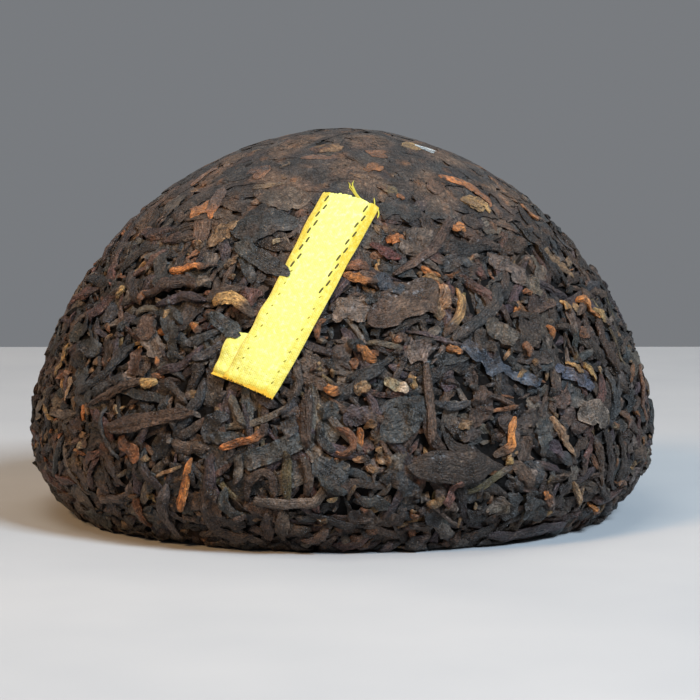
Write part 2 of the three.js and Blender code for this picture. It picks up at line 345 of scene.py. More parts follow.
class Batch:
    """Joins many small closed shapes into one mesh, with a map of millimetres along and around each, and a
    tint, whose alpha is how loose the leaf lies."""

    def __init__(self):
        self.parts = [[] for _ in range(5)]
        self.count = 0

    def store(self, points, corners, sides, chart, tints):
        for kept, new in zip(self.parts, (points, corners + self.count, sides, chart, tints)):
            kept.append(new)
        self.count += len(points)

    def add_tube(self, rings, tips, tints):
        """rings is (rings, around, 3) and tips (2, 3), with a tint for each point of the rings."""
        count, around = rings.shape[:2]
        corners, spots, sides = tube_template(count, around)
        closed = np.concatenate([rings, rings[:, :1]], 1)
        girth = np.cumsum(np.linalg.norm(np.diff(closed, axis=1), axis=2), 1)
        girth = np.concatenate([np.zeros((count, 1)), girth], 1)
        along = np.repeat(travelled(rings.mean(1))[:, None], around + 1, 1)
        chart = np.stack([along, girth], -1)
        chart = np.concatenate([chart[:1] - (TIP_LENGTH, 0), chart, chart[-1:] + (TIP_LENGTH, 0)])
        chart = chart.reshape(-1, 2) + rng.uniform(0, CHART_SPREAD, 2)
        points = np.concatenate([tips[:1], rings.reshape(-1, 3), tips[1:]])
        tints = np.concatenate([tints[0, :1], tints.reshape(-1, 4), tints[-1, :1]])
        self.store(points, corners, sides, chart[spots], tints)

    def add_grid(self, points, chart, tints=None):
        """A skin given as a grid of points. It is closed where its last column lies on its first."""
        rows, columns = points.shape[:2]
        i, j = np.meshgrid(np.arange(rows - 1), np.arange(columns - 1), indexing="ij")
        a = (i * columns + j).ravel()
        corners = np.stack([a, a + columns, a + columns + 1, a + 1], 1).ravel()
        tints = np.ones((rows, columns, 4)) if tints is None else tints
        chart = chart.reshape(-1, 2)[corners]
        self.store(points.reshape(-1, 3), corners, np.full(len(a), 4), chart, tints.reshape(-1, 4))

    def piece(self, name, material):
        points, corners, sides, chart, tints = map(np.concatenate, self.parts)
        mesh = bpy.data.meshes.new(name)
        starts = np.concatenate([[0], np.cumsum(sides)[:-1]])
        for elements, field, values in (
            (mesh.vertices, "co", (points * MM).astype(np.float32)),
            (mesh.loops, "vertex_index", corners.astype(np.int32)),
            (mesh.polygons, "loop_start", starts.astype(np.int32)),
        ):
            elements.add(len(values))
            elements.foreach_set(field, values.ravel())
        mesh.update(calc_edges=True)
        mesh.polygons.foreach_set("use_smooth", np.ones(len(sides), bool))
        layer = mesh.uv_layers.new(name="chart")
        layer.data.foreach_set("uv", chart.astype(np.float32).ravel())
        tint = mesh.attributes.new("tint", "FLOAT_COLOR", "POINT")
        tint.data.foreach_set("color", tints.astype(np.float32).ravel())
        mesh.set_sharp_from_angle(angle=CREASE_ANGLE)
        mesh.validate()
        mesh.materials.append(material)
        return add_object(name, mesh)


# ---- Leaves ----

TONES = dict(
    ink=(28, 25, 24), bark=(51, 42, 36), brown=(68, 52, 42), redbrown=(76, 51, 44), taupe=(87, 77, 68),
    # The bluish slate tone on the line below is partly the leaves' own grey and partly a painted cool
    # reflection.
    slate=(50, 51, 51), steel=(53, 58, 65), violet=(58, 47, 49), wine=(88, 46, 42), rust=(108, 70, 43),
    orange=(158, 98, 46), gold=(142, 110, 66), tan=(120, 94, 66), olive=(84, 72, 46),
    # On the line below, pale is no leaf's own colour but a painted highlight: the glint on a chip at the
    # top's outline.
    cream=(150, 136, 110), pale=(232, 238, 240),
)
SKIN_TONES = dict(cool=(42, 42, 43), warm=(100, 79, 62), rusty=(128, 88, 56))
SKIN_RUST = 0.7  # how far its rusty spots take over

# length, width: millimetres. flat: thickness over width. creases: their depth, as a share of the radius.
# twist: radians over the whole leaf. strap: 2 for a lens, more for a strap that keeps its width to its ends.
# end: width left at the ends. ragged: how uneven the edges are. crumple: waves in it, in millimetres.
# curl: how far the edges stand up, as a share of the width. kink: bends at each step of its way, in radians.
# drape: 1 follows what lies underneath, 0 bridges it. A pair is a range, from which each leaf draws its own.
STRAND = dict(
    length=(3, 12), width=(0.9, 2.2), flat=(0.4, 0.85), creases=(0.25, 0.6), twist=(-3, 3), strap=(2, 6),
    end=(0.2, 0.6), ragged=(0.1, 0.26), crumple=(0.05, 0.18), curl=(0, 0), kink=0.15, drape=0.3,
)
BLADE = dict(
    length=(3, 8), width=(1.8, 3.8), flat=(0.1, 0.2), creases=(0, 0.1), twist=(-0.3, 0.3), strap=(3, 9),
    end=(0.3, 0.75), ragged=(0.12, 0.32), crumple=(0.15, 0.35), curl=(-0.1, 0.25), kink=0.05, drape=0.7,
)
KINDS = {
    "black_strands": dict(STRAND, share=0.22, tones="ink ink bark violet"),
    "brown_strands": dict(STRAND, share=0.24, tones="bark brown brown redbrown"),
    "slate_strands": dict(STRAND, share=0.13, tones="slate slate taupe violet"),
    "slate_leaves": dict(BLADE, share=0.14, tones="slate slate ink taupe"),
    "brown_leaves": dict(BLADE, share=0.14, tones="bark brown taupe bark"),
    "stems": dict(
        STRAND, share=0.05, tones="brown olive taupe bark", width=(0.7, 1.3), creases=(0.05, 0.15),
        twist=(-0.6, 0.6), end=(0.7, 0.9), ragged=(0.03, 0.08), crumple=(0, 0.04), kink=0.05, drape=0.1,
    ),
    "golden_tips": dict(
        STRAND, share=0.08, tones="rust orange gold tan brown tan", length=(2, 6), width=(0.7, 1.5)
    ),
}
CRUMBS = dict(
    STRAND, share=1.0, tones="ink ink bark brown taupe slate bark rust tan", length=(0.8, 2.6),
    width=(0.5, 1.5), end=(0.5, 0.8), ragged=(0.2, 0.4), kink=0.2,
)
batches = {name: Batch() for name in [*KINDS, "crumbs"]}

SUPPORT_REACH = 0.85  # how far out a leaf is supported, as a share of half its width
SUPPORT_COLUMNS = np.linspace(-SUPPORT_REACH, SUPPORT_REACH, 5)
SINK = 0.2  # how deep a leaf is let into those below it, as a share of its thickness
LOOSE_SKIN = 0.7  # from this looseness up, the leaf has its own looks in full
TOP_SPREAD = 0.8  # how much wider a leaf is pressed at the top
TOP_FOLDS = 0.2  # how much of its own folds it keeps there
LEAST_EDGE = 0.15  # where a torn edge lies at least, as a share of half the width
END_SLANT = 0.7
POINT_LENGTH = 0.3  # of what closes a leaf's ends, as a share of half its width
BRIGHTNESS, HUE_SPREAD = (0.68, 1.45), 0.03  # of one leaf's colour against its tone
CHANGE_AT, CHANGE_BAND = (0.2, 1.6), 0.15  # where along a leaf its second tone starts, if before its end
SHADE_SPREAD = 0.12  # of lighter and darker stretches
# Painted shade: how much darker a leaf's colour is in its creases.
CREASE_SHADE = 0.25


def draw(kind):
    """A random leaf of a kind."""
    tones = kind["tones"].split()
    leaf = {name: rng.uniform(*value) for name, value in kind.items() if type(value) is tuple}
    leaf.update(drape=kind["drape"], kink=kind["kink"], tone=rng.choice(tones))
    leaf.update(second=rng.choice(tones), tilt=rng.uniform(-0.5, 0.5), tuck=0.35)
    return leaf


def walk(start, ahead, length, bends):
    """Ways over the outline, one from each start. bends holds the turn at each station, in radians."""
    place, ahead = start.copy(), ahead.copy()
    stations = bends.shape[1]
    way = np.empty((len(start), stations, 3))
    step = (length / (stations - 1))[:, None]
    for i in range(stations):
        place, normal = surface(*locate(place))
        ahead = level(ahead, normal)
        way[:, i] = place
        cos, sin = np.cos(bends[:, i, None]), np.sin(bends[:, i, None])
        ahead = ahead * cos + np.cross(ahead, normal) * sin
        place = place + step * ahead
    return way


def random_starts(number, s_low, s_high):
    """Spots spread evenly by area over a band of the outline, with random directions."""
    inside = (LINE_S >= s_low) & (LINE_S <= s_high)
    weight = np.cumsum(LINE_R * inside)
    s = np.interp(rng.uniform(0, weight[-1], number), weight, LINE_S)
    theta = rng.uniform(-np.pi, np.pi, number)
    place, normal = surface(s, theta)
    return place, level(rng.normal(size=(number, 3)), normal)


def wavy(t, size):
    """A smooth random curve over t, about 0."""
    total = np.zeros_like(t)
    for k in range(1, 4):
        total += rng.normal() * np.sin(2 * np.pi * (k * 0.6 * t + rng.uniform())) / k
    return size * total


def torn(t, size):
    """A random curve over t with corners, about 0."""
    knots = np.sort(rng.uniform(0, 1, 7))
    return np.interp(t, knots, rng.normal(0, size, 7))


def skin_colour(points):
    """The mottled grey and brown that the pressed leaf of the top runs together into."""
    x, y, z = points[..., 0], points[..., 1], points[..., 2]
    patches = np.sin(0.55 * x + 0.9 * np.sin(0.31 * y + 1))
    patches = patches + np.sin(0.47 * y + 0.8 * np.sin(0.42 * x + z * 0.2))
    spots = np.sin(1.3 * x + 2 * np.sin(0.6 * y)) + np.sin(1.1 * y + 2 * np.sin(0.7 * x + 1))
    cool, warm, rusty = (linear(tone) for tone in SKIN_TONES.values())
    warmth = smoothstep(patches, -0.2, 1.4)[..., None]
    rust = smoothstep(spots, 1.1, 1.9)[..., None] * SKIN_RUST
    return (1 - rust) * ((1 - warmth) * cool + warmth * warm) + rust * rusty


def sections(leaf, t, half, taper, loose, around):
    """A leaf's cross-sections along t: how far each point is across and up, and how deep in a crease."""
    edges = np.stack([half * (1 + torn(t, leaf["ragged"])) for _ in range(2)], 1)
    edges = np.maximum(edges, LEAST_EDGE * half[:, None])
    angle = 2 * np.pi * np.arange(around) / around
    turned = leaf["twist"] * (t - 0.5)[:, None]
    creases = 0.5 * rng.integers(2, 5)
    groove = 1 - np.abs(np.cos(creases * (angle[None] + 1.3 * turned) + rng.uniform(0, 6))) ** 0.8
    girth = 1 - leaf["creases"] * groove
    reach = np.where(np.cos(angle) > 0, edges[:, :1], edges[:, 1:])
    flat_x = reach * np.cos(angle) * girth
    flat_y = half[:, None] * np.sin(angle) * leaf["flat"] * girth
    roll = turned * min(1.0, 1.6 * leaf["flat"])
    across = flat_x * np.cos(roll) - flat_y * np.sin(roll)
    up = flat_x * np.sin(roll) + flat_y * np.cos(roll)
    edge = across / half[:, None]
    waves = leaf["length"] * t[:, None]
    folds = np.sin(2.2 * waves + 1.1 * edge + rng.uniform(0, 6)) + 0.7 * np.sin(3.9 * waves - 2 * edge)
    up = up + leaf["curl"] * leaf["width"] * taper[:, None] * (edge**2 - 0.35)
    up = (up + leaf["crumple"] * folds) * (TOP_FOLDS + (1 - TOP_FOLDS) * loose)
    return across, up, groove


def support(place, side, half, across, drape):
    """Height of what a leaf rests on: each spot's own where it drapes, the whole leaf's where it bridges."""
    columns = place[:, None] + side[:, None] * (half[:, None] * SUPPORT_COLUMNS)[..., None]
    under = smoothed(relief[map_cells(*locate(columns))], 1)
    bridged = smoothed(0.5 * under.mean(1) + 0.5 * under.max(1), 3)
    slot = np.clip((across / half[:, None] / SUPPORT_REACH + 1) * 2, 0, 3.999)
    left = slot.astype(int)
    rows = np.arange(len(place))[:, None]
    local = under[rows, left] * (1 - slot + left) + under[rows, left + 1] * (slot - left)
    return drape * local + (1 - drape) * bridged[:, None]


def tinted(leaf, t, groove, loose, rings):
    """The colour of each point of a leaf, and how loose it lies."""
    start, end = leaf["change"] - CHANGE_BAND, leaf["change"] + CHANGE_BAND
    change = smoothstep(t + wavy(t, 0.1), start, end)[:, None, None]
    tints = leaf["colours"][0] * (1 - change) + leaf["colours"][1] * change
    # Random lighter and darker stretches, with painted shade in the creases.
    tints = tints * (1 + wavy(t, SHADE_SPREAD)[:, None] - CREASE_SHADE * groove)[..., None]
    skin = (leaf["blend"] * (1 - loose))[..., None]
    tints = np.clip(tints * (1 - skin) + skin_colour(rings) * skin, 0.002, 1)
    return np.concatenate([tints, np.broadcast_to(loose[..., None], tints.shape[:2] + (1,))], -1)


def lay(batch, way, leaf, around, lift=0.0, floor=0.0):
    """Lays a leaf along its way on what already lies there, no lower than floor, and adds it to batch."""
    t = np.linspace(0, 1, len(way))
    s_way, theta_way = locate(way)
    place, normal = surface(s_way, theta_way)
    loose = looseness(s_way)[:, None]
    ahead = unit(np.gradient(place, axis=0))
    side = np.cross(ahead, normal)
    ended = np.abs(2 * t - 1)
    taper = np.maximum(np.maximum(1 - ended ** leaf["strap"], 0) ** 0.4, leaf["end"])
    half = leaf["width"] / 2 * taper * (1 + TOP_SPREAD * (1 - loose[:, 0]))
    across, up, groove = sections(leaf, t, half, taper, loose, around)

    slant = rng.uniform(-END_SLANT, END_SLANT) * across * (ended**4)[:, None]
    spots = place[:, None] + side[:, None] * across[..., None] + ahead[:, None] * slant[..., None]
    s, theta = locate(spots)
    rest = support(place, side, half, across, 1 - (1 - leaf["drape"]) * loose)
    thickness = np.ptp(up, axis=1)[:, None]
    height = rest + up - up.min(1, keepdims=True) - SINK * thickness + lift
    sway = leaf["tilt"] * (2 * t - 1)[:, None] - leaf["tuck"] * ended[:, None] ** 5
    height = height + sway * thickness

    base, out = surface(s, theta)
    rings = base + out * (pressed(height, s) - core_depth(s))[..., None]
    rings[..., 2] = np.maximum(rings[..., 2], floor)
    tips = rings[[0, -1]].mean(1) + np.stack([-ahead[0], ahead[-1]]) * POINT_LENGTH * half[[0, -1], None]
    batch.add_tube(rings, tips, tinted(leaf, t, groove, loose, rings))
    top = slice(0, around // 2 + 1)
    raise_relief(s[:, top], theta[:, top], height[:, top])


def coloured(leaf, blend=0.75):
    """Gives a leaf its two colours, near its tones, where one changes to the other, and how far the pressed
    skin of the top takes them over."""
    jitter = rng.uniform(*BRIGHTNESS, (2, 1)) * rng.normal(1, HUE_SPREAD, (2, 3))
    leaf["colours"] = np.stack([linear(TONES[leaf["tone"]]), linear(TONES[leaf["second"]])]) * jitter
    leaf["change"] = rng.uniform(*CHANGE_AT)
    leaf["blend"] = blend
    return leaf


# ---- The leaves that can be told apart in the photograph ----

SEEN_KINDS = {
    "tip": "golden_tips",
    "leaf": "brown_leaves",
    "dark_leaf": "slate_leaves",
    "strand": "brown_strands",
    "dark_strand": "slate_strands",
    "stem": "stems",
}
# Kind, tone, width in millimetres, and the way of its middle in pixels of the photograph, read one by one.
# They are laid in this order, so that those further down lie on top.
SEEN_LEAVES = dict(
    # above and left of the ribbon
    slab="dark_leaf slate 3.6 236,233 262,222 292,213",
    slab_below="dark_leaf slate 2.2 241,236 246,254 252,276",
    slab_above="dark_leaf taupe 3.2 262,200 285,196 306,192",
    bud="tip orange 1.5 167,268 190,262 214,260",
    sliver_by_bud="tip tan 1 222,263 237,252",
    upper_blob="tip orange 2.2 189,214 202,205 214,199",
    upper_tip="tip orange 1.6 209,217 214,199 222,185",
    beige_crumple="leaf tan 2.8 212,241 221,229 230,220",
    outline_smear="tip rust 1.5 190,183 203,172 216,165",
    pale_chip="tip rust 1.6 256,177 266,163",
    pale_sliver="tip tan 0.9 252,185 268,183 284,182",
    gold_blob="tip gold 1.5 109,292 119,282",
    rust_end="tip rust 1.6 132,298 142,287",
    wavy="strand brown 1.9 140,291 160,284 182,277 194,284",
    wavy_below="strand violet 1.7 150,301 175,293 206,297",
    wavy_on="strand brown 1.5 206,299 214,290 232,286 250,289",
    pink_crumb="tip cream 1 271,240 283,237",
    # left
    edge_blade="tip gold 0.9 61,341 52,360 46,378",
    edge_hook="tip rust 0.9 50,377 62,370",
    edge_strip="tip tan 0.9 63,375 58,400",
    edge_gold="tip gold 1 41,404 42,421",
    left_flake="dark_leaf slate 2.8 62,336 74,324 85,314",
    left_diagonal="dark_strand slate 1.8 128,340 110,358 95,375 70,392",
    left_twist="strand brown 1.5 150,375 130,380 108,388 80,405",
    upright="dark_leaf slate 2.5 165,308 167,335 168,358",
    small_slate="dark_strand slate 1.2 167,302 178,321",
    fuzzy_block="leaf brown 3.8 141,311 143,336",
    dotted="strand violet 1.5 150,370 172,364 188,354 200,344",
    orange_dot="tip orange 0.9 151,354 153,363",
    gold_crumb="tip gold 1.8 136,383 153,380",
    bent_stem="strand brown 1.5 160,378 171,389 182,402",
    blade_by_gap="dark_strand slate 1.7 178,342 200,335 220,325",
    blade_to_corner="dark_strand slate 1.7 190,357 208,350 228,338",
    rust_crumb="tip orange 1.3 189,321 198,331",
    cream_chip="tip cream 1.3 70,446 79,446",
    # lower left
    stalk="strand brown 2.7 102,426 135,421 165,416 190,412",
    thin_curve="dark_strand slate 0.9 98,405 98,430 106,450 113,461",
    rust_fold="leaf rust 2.6 113,440 124,450 135,459",
    crumb_strand="strand brown 1.9 170,445 188,448 205,449",
    vivid_strip="tip orange 1.9 187,459 184,480 181,498 178,513",
    pale_twig="stem tan 0.6 155,477 178,468",
    long_grey="strand taupe 2.1 166,485 163,510 170,530 180,545",
    low_gold="tip gold 1.2 146,498 154,502",
    low_red="strand rust 1.3 130,498 140,514 148,530",
    dark_fold="dark_leaf slate 2.4 205,442 207,427 222,412",
    dark_fold_foot="dark_leaf slate 1.9 207,439 224,437 241,438",
    grey_by_fold="strand taupe 1.5 228,393 233,411 243,426",
    orange_curve="tip orange 1.4 216,449 238,442 254,437 265,423",
    triangle="dark_leaf slate 3 236,462 268,454 302,437",
    round_fold_outer="strand bark 1.9 206,490 203,510 212,530 232,540 252,539",
    round_fold="leaf bark 2.3 214,489 213,508 223,523 243,529",
    round_fold_inner="dark_strand slate 1.9 225,489 224,503 233,514 248,518",
    rust_tip="tip rust 1 234,519 246,516",
    short_upright="stem taupe 1.5 236,457 236,484",
    arch="strand brown 1.6 246,502 248,484 261,474 272,481 275,498",
    # lower middle
    long_upright="strand brown 1.9 308,388 306,420 307,448",
    slate_upright="dark_leaf slate 2.4 286,402 289,420 289,437",
    olive_stem="stem olive 1.5 287,453 286,475 287,499",
    brown_stem="stem brown 1.5 302,458 309,478 306,496",
    cross_stem="stem taupe 1.7 254,501 285,504 312,503 324,492",
    low_upright="strand brown 1.8 268,510 266,546",
    low_upright_2="strand brown 2.1 283,510 280,545",
    rust_hook="tip rust 1.3 337,427 351,434 354,446 344,455 336,452",
    crescent="dark_strand slate 1.7 319,421 321,438 333,453",
    crumple="dark_leaf slate 3.4 313,465 328,470 346,480",
    crumple_fold="dark_strand slate 1.6 318,476 331,486 347,492",
    low_rust="tip rust 1.4 300,546 316,543 328,533",
    orange_chip="tip orange 1.8 324,389 342,390",
    flake="dark_leaf slate 2.6 321,406 337,411",
    violet_flake="dark_leaf violet 2.6 345,421 374,410",
    olive_tip="tip gold 1.2 365,428 377,421",
    olive_lump="leaf tan 1.8 355,390 371,382",
    cream_crumb="tip cream 0.9 326,503 338,499",
    dark_oval="leaf bark 2.6 348,520 374,517",
    # right of the ribbon
    corner_flake="dark_leaf slate 3 380,203 400,208 418,214",
    oval_chip="tip orange 1.4 388,234 405,232",
    wine_red="strand wine 1.7 371,240 388,247 402,254",
    upright_flake="dark_leaf taupe 3 424,226 416,240 408,248",
    long_brown="strand brown 1.8 452,216 438,242 415,258 395,269",
    fibres_1="tip orange 1.1 424,262 434,268 446,270",
    fibres_2="tip gold 0.9 424,270 436,273 447,278",
    fibres_3="tip orange 0.8 428,277 438,279 446,285",
    tan_upright="leaf tan 1.9 444,283 446,298 441,314",
    gold_upright="tip gold 1.9 461,283 463,303 457,318 447,331",
    rounded_leaf="leaf taupe 4.8 334,309 352,304 374,304",
    big_leaf="leaf brown 5.2 370,311 402,304 440,289",
    # Bluish: partly its own slate grey, partly a painted cool reflection.
    blue_chip="dark_leaf steel 2.2 380,270 400,291",
    small_oval="dark_leaf slate 1.7 370,300 377,288",
    orange_leaf="tip orange 1.4 343,271 362,276 379,280",
    orange_leaf_2="tip rust 1.4 342,265 370,263",
    long_curve="dark_strand slate 2 502,277 497,303 480,320 456,335",
    flake_orange="tip orange 2 357,345 378,356",
    orange_crumple="tip orange 1.4 450,344 467,349",
    pink_bit="tip rust 1.6 396,338 409,331",
    thin_strand="dark_strand violet 0.9 408,327 430,331 452,340 467,341",
    grey_leaf="dark_leaf taupe 3.2 411,350 432,346",
    violet_block="dark_leaf violet 2.2 452,370 452,388",
    cream_crumbs="leaf cream 1.6 386,377 398,384 410,388",
    gold_crumbs="tip gold 1.2 414,372 417,387",
    # on the pressed top, and upper right
    top_rust="tip rust 2 252,172 262,165",
    top_lump="leaf tan 2.2 325,141 333,149",
    top_pink="tip tan 1.2 279,164 286,158",
    top_red="tip rust 1.6 368,150 386,153",
    top_gold="tip gold 1.8 416,141 409,147",
    orange_dab="tip orange 1.5 454,226 467,224",
    gold_patch="tip gold 2.6 463,199 477,202 491,204",
    rust_arc="tip orange 1.9 440,173 462,181 480,190 491,203",
    outline_chip="tip orange 2 523,202 536,211 547,220",
    tan_mass="leaf tan 3.2 551,245 562,257 576,267",
    grey_mass="leaf taupe 3 491,250 515,265 546,287",
    orange_fan="tip orange 1.8 582,296 593,302 603,315",
    gold_fan="tip gold 2.2 600,305 606,314 614,323",
    rust_fan="tip rust 2.4 583,331 599,328",
    tan_drop="tip gold 1.4 569,296 574,308",
    top_chip="tip orange 1.4 366,163 383,167",
    top_tan="tip tan 0.9 352,172 369,175",
    top_olive="tip olive 1.2 382,183 398,190",
    top_orange="tip orange 0.8 397,193 406,195",
    # A small leaf chip whose near-white tone is a painted highlight: the glint on its edge.
    glint_chip="dark_leaf pale 1.4 418,144 426,146 434,150",
    # right
    grey_chip="leaf taupe 3.2 491,317 505,328 523,335",
    # These two blades are bluish: partly their own slate grey, partly a painted cool reflection.
    blue_blade="dark_leaf steel 2.3 468,340 495,360 520,372 546,382",
    right_blade="dark_leaf steel 2 562,364 580,374 599,387",
    gold_by_blade="tip gold 1.1 575,358 585,372",
    gold_by_blade_2="tip gold 1.4 591,360 601,379",
    rust_lump="tip rust 1.6 527,341 536,353",
    tan_crumbs="tip tan 1.4 538,357 547,367",
    tall_stem="stem brown 1.5 428,362 432,400 434,442",
    low_curve="dark_strand slate 1.5 436,401 455,406 475,401",
    flat_leaf="dark_leaf slate 4.8 382,438 402,421 424,404",
    flat_upright="dark_leaf slate 2.2 417,388 417,405 413,424",
    bent_bud="tip orange 1.4 520,416 515,432 515,446 501,458",
    tan_strand="tip tan 1.6 557,416 568,430 575,445 581,457",
    slate_leaf="dark_leaf slate 2.8 547,418 549,436 550,454",
    grey_brown_leaf="leaf brown 3 487,384 487,405 481,426",
    slug="strand bark 4.9 413,473 432,467 452,467 472,469 496,466",
    pink_chip="leaf tan 1.6 377,457 393,464",
    slate_quad="dark_leaf slate 3 385,478 400,484 416,494",
    tan_curl="tip tan 1.5 428,507 440,502 438,491",
    red_wavy="strand redbrown 1.5 461,481 452,492 447,506",
    orange_crumb="tip orange 1.3 544,491 551,504",
    gold_fan_low="tip gold 1.8 550,510 543,519 537,529",
    slate_block="dark_leaf slate 2.6 532,492 534,507 537,523",
    tan_upright_low="tip tan 1.2 575,483 581,498 580,511",
    far_orange="tip orange 1 594,508 600,516",
    foot_leaf="strand violet 2.7 490,540 528,537 568,528",
    edge_rust="tip rust 1.4 647,362 650,395 655,426",
    edge_chip="tip rust 1.6 628,411 639,427",
    edge_dark_1="strand bark 1.7 612,430 616,455 610,481",
    edge_dark_2="strand brown 1.6 603,440 606,460 600,484",
    edge_dark_3="strand bark 1.6 628,430 630,455 620,483",
    edge_crumple="leaf taupe 3.6 586,414 600,411 614,421",
    tan_bit="leaf tan 1.4 463,424 476,425",
)
# What lies over the ribbon's left edge.
OVER_RIBBON = dict(
    lapping="dark_leaf slate 2.6 232,240 259,255 289,272",
    red_leaf="leaf redbrown 2.9 230,306 242,297 259,287",
    gold_crest="tip gold 2.5 210,300 226,296 240,302 251,314",
    slate_below_crest="dark_leaf slate 2.9 206,315 222,322 239,330",
)
RESHAPED = {"lapping": dict(end=0.3, strap=1.8, ragged=0.03)}  # in place of what is drawn for its kind
# Dark gaps where no leaf lies on top: each the x and y of its middle and its radius, in the same pixels.
SEEN_GAPS = dict(
    below_the_tab="186,371,14 203,378,12 172,376,8",
    below_the_blade_with_painted_sheen="452,389,8 468,388,8 484,377,4 515,377,7 532,386,7",
    by_the_stalk="150,431,7 175,429,7 196,424,6",
    by_the_rust_hook="345,446,4 345,460,4",
    between_the_low_stems="263,487,4 297,491,4 278,478,5",
    by_the_big_leaf="434,304,4 380,301,3",
    further_right="476,443,4 405,437,4 388,470,4",
    by_the_upright="160,336,3",
)
SEEN_STATIONS, SEEN_AROUND = 20, 14
SEEN_SAMPLES = 24  # of the way before it is evened out
SEEN_BLEND = 0.25


def seen_way(pixels):
    """The way over the outline below a line in the photograph, in even steps."""
    way = seen_at(spline(pixels, SEEN_SAMPLES))
    along = travelled(way)
    even = np.linspace(0, along[-1], SEEN_STATIONS)
    return np.stack([np.interp(even, along, way[:, k]) for k in range(3)], -1)


def lay_seen(entries, lift):
    for name, entry in entries.items():
        short_kind, tone, width, *places = entry.split()
        kind = SEEN_KINDS[short_kind]
        way = seen_way(numbers_in(places))
        leaf = draw(KINDS[kind])
        second = "brown" if kind == "golden_tips" else tone
        leaf.update(width=float(width), tone=tone, second=second, tilt=0.0, tuck=0.2)
        leaf.update(length=travelled(way)[-1], **RESHAPED.get(name, {}))
        lay(batches[kind], way, coloured(leaf, SEEN_BLEND), SEEN_AROUND, lift)


# ---- The random leaves ----

FIRST_LEAVES = 1600  # fill the hollows among each other, and mostly end up covered
LAST_LEAVES = 1350  # lie across the first, with gaps between them
LEAVES_IN_HOLLOW = 330
CRUMB_COUNT = 3400
CRUMBS_FROM = 12.0  # the s from which the last crumbs lie on all the rest
CRUMB_SINK = 0.1
LEAF_FLOORS, CRUMB_FLOORS = (0.0, 0.25), (0.0, 0.2)  # how far above the ground they end, at the foot
BEND_SPREAD = 0.04  # radians at each station, the same along the whole way
FRONT = math.radians(80)  # how far round from the middle of the shown side leaves get the finer mesh
TOP_FROM = 52.0  # the height above which they all get it
GAP_PENALTY = 6.0  # how much higher the relief seems to leaves that would cross a gap
GAP_RINGS, GAP_SPOKES = 6, 24


def avoid_gaps():
    """Marks the photograph's dark gaps, so that no random leaf is laid across them."""
    turn = np.linspace(0, 2 * np.pi, GAP_SPOKES, endpoint=False)
    for x, y, size in numbers_in(" ".join(SEEN_GAPS.values()).split()):
        radii = np.linspace(0, size, GAP_RINGS)
        pixels = np.stack([x + np.outer(radii, np.cos(turn)), y + np.outer(radii, np.sin(turn))], -1)
        avoided[map_cells(*locate(seen_at(pixels.reshape(-1, 2))))] = GAP_PENALTY


def random_leaves(number, s_low, s_high, kinds, tries, stations):
    """Draws leaves and gives each the lowest of a few random ways."""
    names = rng.choice(list(kinds), number, p=np.array([kind["share"] for kind in kinds.values()]))
    leaves = [draw(kinds[name]) for name in names]
    start, ahead = random_starts(number * tries, s_low, s_high)
    length = np.repeat([leaf["length"] for leaf in leaves], tries)
    kink = np.repeat([leaf["kink"] for leaf in leaves], tries)[:, None]
    bends = rng.normal(0, BEND_SPREAD, (number * tries, 1))
    bends = bends + kink * rng.normal(size=(number * tries, stations))
    ways = walk(start, ahead, length, bends).reshape(number, tries, stations, 3)
    cells = map_cells(*locate(ways))
    for i, (name, leaf) in enumerate(zip(names, leaves)):
        own_cells = tuple(part[i] for part in cells)
        heights = relief[own_cells] + avoided[own_cells]
        yield name, leaf, ways[i, heights.mean(1).argmin()]


def shown(way):
    """True for a leaf on the side that the camera sees."""
    middle = way[len(way) // 2]
    return abs(math.atan2(middle[0], -middle[1])) < FRONT or middle[2] > TOP_FROM


def lay_random(number, s_low, s_high, tries, stations, around):
    for name, leaf, way in random_leaves(number, s_low, s_high, KINDS, tries, stations):
        corners = around if shown(way) else max(around - 3, 8)
        lay(batches[name], way, coloured(leaf), corners, floor=rng.uniform(*LEAF_FLOORS))


def lay_crumbs(number, s_low, s_high):
    crumbs = random_leaves(number, s_low, s_high, {"crumbs": CRUMBS}, tries=5, stations=4)
    for name, leaf, way in crumbs:
        lay(batches[name], way, coloured(leaf), 6, lift=-CRUMB_SINK, floor=rng.uniform(*CRUMB_FLOORS))


# ---- The ribbon ----

# Top left, top right, bottom left and bottom right, in pixels of the photograph. The tab is the second layer,
# whose end shows beside the first at the lower left.
RIBBON_CORNERS = "322.5,191 379.5,205.5 220.5,375 271,398"
TAB_CORNERS = "228,328 262,333 206.5,371 240,384"
TAB_LOWERED = 0.1
RIBBON_THICKNESS = 0.42
RIBBON_RISE = 1.2  # of its top above the outline
RIBBON_CLEARANCE = 0.06  # over the leaves that it bridges
RIBBON_ROOM = 0.05  # over it, for what is laid on it
RIBBON_ACROSS, RIBBON_ALONG = 40, 170
UNDER_ACROSS, UNDER_ALONG = 23, 89  # of the coarse grid of its underside
OVER_LEAVES, EVENED = 2, 14  # how many filter passes lift that over single leaves, and then even it out
MAP_ACROSS, MAP_ALONG = 60, 240
TOP_BOW = 0.011  # how far its top end is bowed, as a share of its length
BOW_FADE = 25  # one over the share of its length along which the bow fades out
EDGE_RADIUS = 0.16
TOOTH, TOOTH_WIDTH = 0.0022, 0.42  # of the frayed lower end, as a share of the length, and in millimetres
END_SPREAD = 0.002  # of both ends, as a share of the length
END_CURL, CURL_FROM = 0.35, 0.93  # how far its lower end stands up, and from what share of the length


